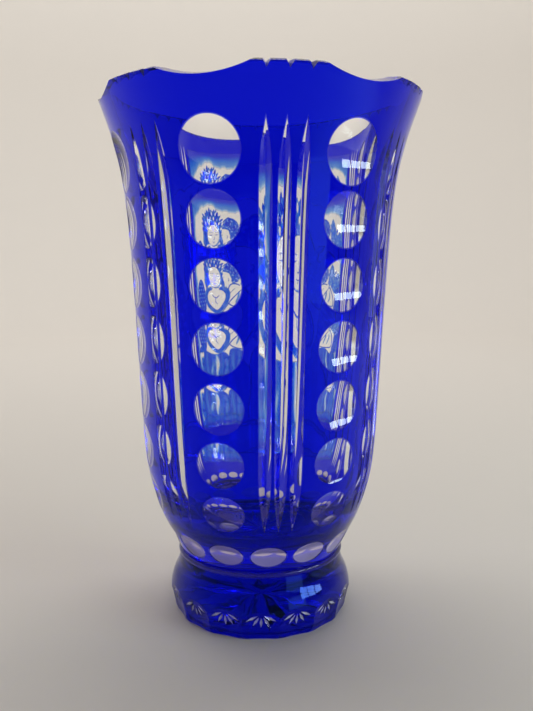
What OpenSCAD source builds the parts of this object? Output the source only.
// Cased crystal vase: a clear lead-crystal body under a thin cobalt skin, cut through to the clear glass.
// The front is at -Y, the engraved picture panel at +Y. The origin is the middle of the resting face.

/* [Vase] */
// Overall height, at the tips of the rim
vase_h = 300; // [280:1:330]
// Height of the joint between bowl and foot
neck_z = 38; // [36:1:40]
// Thickness of the cobalt skin
casing_t = 0.3; // [0.2:0.05:0.5]
// Horizontal thickness of the crystal wall of the bowl
wall_t = 7.6; // [7:0.1:8.5]

/* [Layout] */
// Angle from one flute group to the next, over the five groups of the front and sides
group_step = 53.6; // [52:0.1:54]
// Angle between the three flutes of a group
flute_step = 6.9; // [6.5:0.1:7.2]
// Angle between the notches of a rim tip
notch_step = 6.9; // [6.5:0.1:7.2]

/* [Flutes] */
// Greatest width of a mitre flute at the surface
flute_w = 7.2; // [6:0.1:7.2]
// Depth of a mitre flute
flute_depth = 2.6; // [2:0.1:3]
// Height of the upper point of the flutes
flute_top = 277; // [270:1:280]
// Height of the lower point of the flutes
flute_bottom = 65; // [62:1:70]

/* [Lenses] */
// Radius of the wheel that cuts the round lenses
lens_wheel_r = 32; // [30:1:36]
// Crown radius across the edge of that wheel
lens_crown_r = 58; // [50:1:70]
// Number of oval lenses round the lower bowl
oval_count = 14; // [12:1:16]
// Turn of the ring of oval lenses from the front
oval_turn = -4; // [-12:1:12]

/* [Rim] */
// Depth of the wide scallops of the front and sides
scallop_depth = 6.5; // [5:0.1:7.5]
// Depth of the narrow scallops over the picture panel
panel_scallop_depth = 3; // [2:0.1:4]
// Depth of the V notches in the rim tips
notch_depth = 5.1; // [4:0.1:5.5]

/* [Foot] */
// Number of scooped facets round the lower edge of the foot
facet_count = 16; // [14:1:18]
// Turn of the ring of facets from the front
facet_turn = -8.4; // [-11:0.1:11]
// Radius of the merese, the wafer between bowl and foot
merese_r = 49.8; // [49:0.1:51]

/* [Picture panel] */
// Half width of the etched window, seen square on
panel_half_w = 57; // [52:1:58]
// Height of the lower edge of the window
panel_z0 = 78; // [74:1:79]
// Height of the spring line of its arched top
panel_z1 = 232; // [230:1:238]
// Rise of the arch above its spring line
panel_rise = 26; // [22:1:28]

/* [Hidden] */
$fn = 96;
far = 200;
cobalt = "#0A12B0";
crystal = "#E6ECF0";

// Outline of the bowl as [radius, height] knots, from the neck to the rim.
bowl_knots = [[48.5, neck_z], [54.5, 50], [60.5, 63], [65.6, 80], [68.6, 100], [70.9, 140], [73.3, 190],
              [75.8, 230], [78.7, 255], [83.3, 275], [88.2, 290], [91.8, vase_h]];
knot_steps = 2;

// Outline of the foot as [radius, height] knots, from the resting edge to the neck.
foot_top_z = neck_z - 4;
foot_knots = [[51.5, 0], [54.4, 7], [54.8, 14], [53.2, 21], [50.4, 27.5], [48.6, foot_top_z]];

// Azimuths of the flute groups, the columns of round lenses and the rim tips.
group_az = [for (i = [-2 : 2]) i * group_step];
column_az = [for (i = [-2 : 1]) (i + 0.5) * group_step];
panel_gap = 360 - 4 * group_step;
panel_tip_az = [for (i = [1 : 3]) 2 * group_step + i * panel_gap / 4];
tip_az = concat(group_az, panel_tip_az);

// Round lenses of a column from top to bottom: [height of the middle, width].
lenses = [[262, 32.4], [229, 29.4], [196.3, 28.8], [164.4, 28.4], [133.3, 28], [103, 26.8], [75.3, 24]];

// Catmull-Rom curve through a list of points, with its ends repeated.
function knot(k, i) = k[max(0, min(len(k) - 1, i))];
function blend(a, b, c, d, t) =
    0.5 * (2 * b + (c - a) * t + (2 * a - 5 * b + 4 * c - d) * t * t + (3 * b - a - 3 * c + d) * t * t * t);
function curve(k) = concat(
    [for (i = [0 : len(k) - 2], j = [0 : knot_steps - 1])
        blend(knot(k, i - 1), k[i], k[i + 1], knot(k, i + 2), j / knot_steps)],
    [k[len(k) - 1]]);

// A curve moved level towards the axis, by a thickness d measured square to it.
function unit(v) = v / norm(v);
function along(p, i) = unit(knot(p, i + 1) - knot(p, i - 1));
function inset(p, d) = [for (i = [0 : len(p) - 1]) [p[i][0] - d / along(p, i)[1], p[i][1]]];

bowl_skin = curve(bowl_knots);
bowl_core = inset(bowl_skin, casing_t);
foot_skin = curve(foot_knots);
foot_core = inset(foot_skin, casing_t);

// Radius of the bowl's skin at a height.
radius_at = [for (p = bowl_skin) [p[1], p[0]]];
function skin_r(z) = lookup(z, radius_at);

// The hollow of the bowl: the wall's thickness inside the core, over a rounded bottom.
hollow = concat([[0, 50], [26, 50.6], [40, 54], [47.5, 60]],
                [for (p = bowl_core) if (p[1] > 72) [p[0] - wall_t, p[1]]],
                [[bowl_core[len(bowl_core) - 1][0] - wall_t + 3, vase_h + 9], [0, vase_h + 9]]);

// A turned solid from an outline, closed level at both ends.
module turned(p) {
    rotate_extrude()
        polygon(concat([[0, p[0][1]]], [for (q = p) [max(q[0], 0), q[1]]], [[0, p[len(p) - 1][1]]]));
}

// Carries its children to an azimuth, counted from the front, -Y, towards +X.
module at_azimuth(a) {
    rotate([0, 0, a])
        children();
}

// A sector of a cutting wheel with a crowned edge, lying flat round Z and centred on +Y.
module wheel(radius, crown, half_w, sector) {
    edge = [for (i = [-1.5 : 1.5])
        let (h = half_w * i / 1.5) [radius - crown + sqrt(crown * crown - h * h), h]];
    rotate([0, 0, 90 - sector / 2])
        rotate_extrude(angle = sector)
            polygon(concat([[radius / 2, -half_w]], edge, [[radius / 2, half_w]]));
}

// One round lens on the front meridian. The wheel stands upright, so it sinks until the cut is w wide.
// Only the sector that does the cutting is made.
module round_lens(z, w) {
    r = skin_r(z);
    lean = atan((skin_r(z + 6) - skin_r(z - 6)) / 12);
    sink = r - sqrt(r * r - w * w / 4) + lens_crown_r - sqrt(lens_crown_r * lens_crown_r - w * w / 4);
    sector = 2 * acos(1 - sink / lens_wheel_r) + 3;
    translate([0, -r, z])
        rotate([lean, 0, 0])
            translate([0, sink - lens_wheel_r, 0])
                rotate([0, 90, 0])
                    wheel(lens_wheel_r, lens_crown_r, w * 0.6, sector);
}

// One oval lens on the sloping lower bowl, on the front meridian. Its wheel lies along the oval.
oval_z = 48;
oval_depth = 1.9;
oval_wheel_r = 60;
oval_crown_r = 18;
module oval_lens() {
    lean = atan((skin_r(oval_z + 5) - skin_r(oval_z - 5)) / 10);
    translate([0, -skin_r(oval_z), oval_z])
        rotate([lean, 0, 0])
            translate([0, oval_depth - oval_wheel_r, 0])
                wheel(oval_wheel_r, oval_crown_r, 8.4, 23);
}

// A mitre flute on the front meridian: a V section carried along stations [height, share of the depth].
flute_stations = [[flute_top, -0.25], [flute_top - 3, 0.1], [flute_top - 9, 0.5], [flute_top - 20, 0.88],
                  [flute_top - 34, 1], [215, 1], [180, 1], [145, 1], [115, 1], [flute_bottom + 30, 1],
                  [flute_bottom + 17, 0.9], [flute_bottom + 8, 0.55], [flute_bottom + 2, 0.1],
                  [flute_bottom, -0.25]];
module flute() {
    n = len(flute_stations);
    reach = flute_depth + 0.3;
    half = reach * flute_w / 2 / flute_depth;
    points = [for (s = flute_stations)
        let (y = -skin_r(s[0]) + s[1] * flute_depth)
        each [[0, y, s[0]], [-half, y - reach, s[0]], [half, y - reach, s[0]]]];
    sides = [for (i = [0 : n - 2], j = [0 : 2])
        let (a = 3 * i + j, b = 3 * i + (j + 1) % 3)
        each [[a, b + 3, a + 3], [a, b, b + 3]]];
    polyhedron(points, concat([[2, 1, 0]], sides, [[3 * n - 3, 3 * n - 2, 3 * n - 1]]));
}

// The scallop that dips between two rim tips: a channel with a round floor that falls outwards.
module scallop(depth, span) {
    half = bowl_knots[len(bowl_knots) - 1][0] * sin(span / 2);
    r = (half * half + depth * depth) / (2 * depth);
    sweep = asin(half / r);
    floor_arc = [for (i = [-7 : 7]) [r * sin(sweep * i / 6), r - r * cos(sweep * i / 6)]];
    across_rim(depth, scallop_fall)
        polygon(floor_arc);
}

// A V notch across the outer edge of the rim.
module notch() {
    half = notch_depth * 0.54;
    across_rim(notch_depth, notch_fall)
        polygon([[0, 0], [half * 1.1, notch_depth * 1.1], [-half * 1.1, notch_depth * 1.1]]);
}

// Carries an outline across the rim on the front meridian, falling outwards by an angle, depth below the tips.
rim_r = bowl_knots[len(bowl_knots) - 1][0];
scallop_fall = 18;
notch_fall = 29;
tip_w = 15;
module across_rim(depth, fall) {
    translate([0, -rim_r, vase_h - depth])
        rotate([90 + fall, 0, 0])
            translate([0, 0, -14])
                linear_extrude(18)
                    children();
}

module rim_cuts() {
    for (i = [0 : len(group_az) - 2])
        at_azimuth((group_az[i] + group_az[i + 1]) / 2)
            scallop(scallop_depth, group_step - tip_w);
    for (i = [0.5 : 3.5])
        at_azimuth(2 * group_step + i * panel_gap / 4)
            scallop(panel_scallop_depth, panel_gap / 4 - tip_w - 3);
    for (a = tip_az, i = [-1 : 1])
        at_azimuth(a + i * notch_step)
            notch();
}

module bowl_cuts() {
    rim_cuts();
    for (a = column_az, s = lenses)
        at_azimuth(a)
            round_lens(s[0], s[1]);
    for (a = group_az, i = [-1 : 1])
        at_azimuth(a + i * flute_step)
            flute();
    for (i = [0 : oval_count - 1])
        at_azimuth(oval_turn + i * 360 / oval_count)
            oval_lens();
}

// Flat shapes are drawn as seen from behind, +Y towards the eye: x to the viewer's right, y up.
module onto_back() {
    rotate([90, 0, 180])
        linear_extrude(far)
            children();
}

// An arch of half width w, from z0 up to its spring line at panel_z1 and rising by rise above it.
module arch(w, z0, rise) {
    crown = [for (a = [0 : 15 : 180]) [w * cos(a), panel_z1 + rise * sin(a)]];
    polygon(concat([[-w, z0], [w, z0]], crown));
}

// The arched window that is etched through the skin.
module window() {
    arch(panel_half_w, panel_z0, panel_rise);
}

// The thin layer that the skin fills.
module skin_layer() {
    difference() {
        turned(bowl_skin);
        turned(bowl_core);
    }
}

module bowl_crystal() {
    color(crystal)
        difference() {
            turned(bowl_core);
            rotate_extrude()
                polygon(hollow);
            bowl_cuts();
        }
}

module bowl_casing() {
    color(cobalt)
        difference() {
            difference() {
                turned(bowl_skin);
                bowl_cuts();
                onto_back()
                    window();
            }
            turned(concat([[bowl_core[0][0], neck_z - 1]], bowl_core,
                          [[bowl_core[len(bowl_core) - 1][0], vase_h + 1]]));
        }
}

// The wafer of cobalt glass that joins bowl and foot.
module neck_merese() {
    half = (neck_z - foot_top_z) / 2;
    color(cobalt)
        translate([0, 0, foot_top_z + half])
            rotate_extrude() {
                translate([0, -half])
                    square([merese_r - half, 2 * half]);
                translate([merese_r - half, 0])
                    circle(half);
            }
}

// The facets round the lower edge of the foot, which the skin follows, and the rays cut through it.
facet_r = 100;
facet_out = 149.8;
facet_z = -12.7;
ray_hub_z = 15.4;
ray_fan = [-62, -31, 0, 31, 62];
ray_len = 10.5;
module foot_facets(r) {
    for (i = [0 : facet_count - 1])
        at_azimuth(facet_turn + i * 360 / facet_count)
            translate([0, -facet_out, facet_z])
                sphere(r);
}

// A mitre ray: an eight-sided lozenge, long along -Z from its origin.
module ray() {
    polyhedron([[0, 0, 0], [0, 0, -ray_len], [-1, 0, -ray_len * 0.55], [1, 0, -ray_len * 0.55],
                [0, 1.6, -ray_len * 0.55], [0, -1.6, -ray_len * 0.55]],
               [[0, 2, 4], [0, 4, 3], [0, 5, 2], [0, 3, 5], [1, 4, 2], [1, 3, 4], [1, 2, 5], [1, 5, 3]]);
}

module foot_rays() {
    reach = sqrt(facet_r * facet_r - (ray_hub_z - facet_z) * (ray_hub_z - facet_z));
    for (i = [0 : facet_count - 1])
        at_azimuth(facet_turn + i * 360 / facet_count)
            for (a = ray_fan)
                translate([0, reach - facet_out - 0.35, ray_hub_z])
                    rotate([14, 0, 0])
                        rotate([0, a, 0])
                            ray();
}

// The underside: a shallow recess with a star of mitre cuts.
recess_r = 41;
star_points = 16;
module underside() {
    translate([0, 0, -1])
        cylinder(r = recess_r, h = 2.2);
    for (i = [0 : star_points / 2 - 1])
        rotate([0, 0, i * 360 / star_points])
            polyhedron([[-recess_r + 3, 0, 1.2], [recess_r - 3, 0, 1.2], [0, -5, 1.2], [0, 5, 1.2],
                        [0, 0, 4.2], [0, 0, -2]],
                       [[0, 4, 2], [0, 3, 4], [0, 2, 5], [0, 5, 3], [1, 2, 4], [1, 4, 3], [1, 5, 2], [1, 3, 5]]);
}

module foot_crystal() {
    color(crystal)
        difference() {
            turned(foot_core);
            foot_facets(facet_r + casing_t);
            foot_rays();
            underside();
        }
}

module foot_casing() {
    color(cobalt)
        difference() {
            turned(foot_skin);
            foot_facets(facet_r);
            difference() {
                turned(concat([[foot_core[0][0], -1]], foot_core, [[foot_core[len(foot_core) - 1][0], neck_z]]));
                foot_facets(facet_r + casing_t);
            }
            foot_rays();
        }
}

// A cobalt island that the etching leaves in the window, with a clear margin round it.
module cameo() {
    color(cobalt)
        intersection() {
            skin_layer();
            onto_back()
                intersection() {
                    arch(panel_half_w - 1.5, panel_z0 + 1.5, panel_rise - 1.5);
                    children();
                }
        }
}

// An oval of half sizes w and h, round [x, z].
module oval(x, z, w, h) {
    polygon([for (a = [0 : 20 : 340]) [x + w * cos(a), z + h * sin(a)]]);
}

// Full face, under a crown of leafy hair, with a wing and a falling drape.
module cameo_winged_figure() {
    cameo() {
        difference() {
            oval(24, 221, 19, 27);
            oval(24, 207, 11.5, 16.5);
            translate([5, 188])
                square([38, 14]);
        }
        oval(48, 181, 6.5, 17);
        polygon([[8, 148], [40, 156], [47, 130], [45, 96], [8, 96]]);
    }
}

// In profile, with a cap of curls and a drape.
module cameo_curly_figure() {
    cameo() {
        difference() {
            oval(-9, 217, 12.5, 17);
            oval(2, 207, 12.5, 15.5);
        }
        polygon([[5, 146], [-26, 158], [-40, 146], [-44, 96], [5, 96]]);
    }
}

// Leafy sprays at both sides.
module cameo_foliage() {
    cameo()
        for (spray = [[-44, 205, 7], [-48, 190, 6], [-49, 175, 5], [52, 140, 4.5], [51, 122, 4]])
            oval(spray[0], spray[1], spray[2], spray[2] * 1.2);
}

// The cloud that they stand on.
module cameo_cloud() {
    cameo()
        polygon([[-48, 80], [48, 80], [50, 88], [30, 93], [10, 90], [-12, 93], [-34, 90], [-50, 92]]);
}

bowl_crystal();
bowl_casing();
neck_merese();
foot_crystal();
foot_casing();
cameo_winged_figure();
cameo_curly_figure();
cameo_foliage();
cameo_cloud();
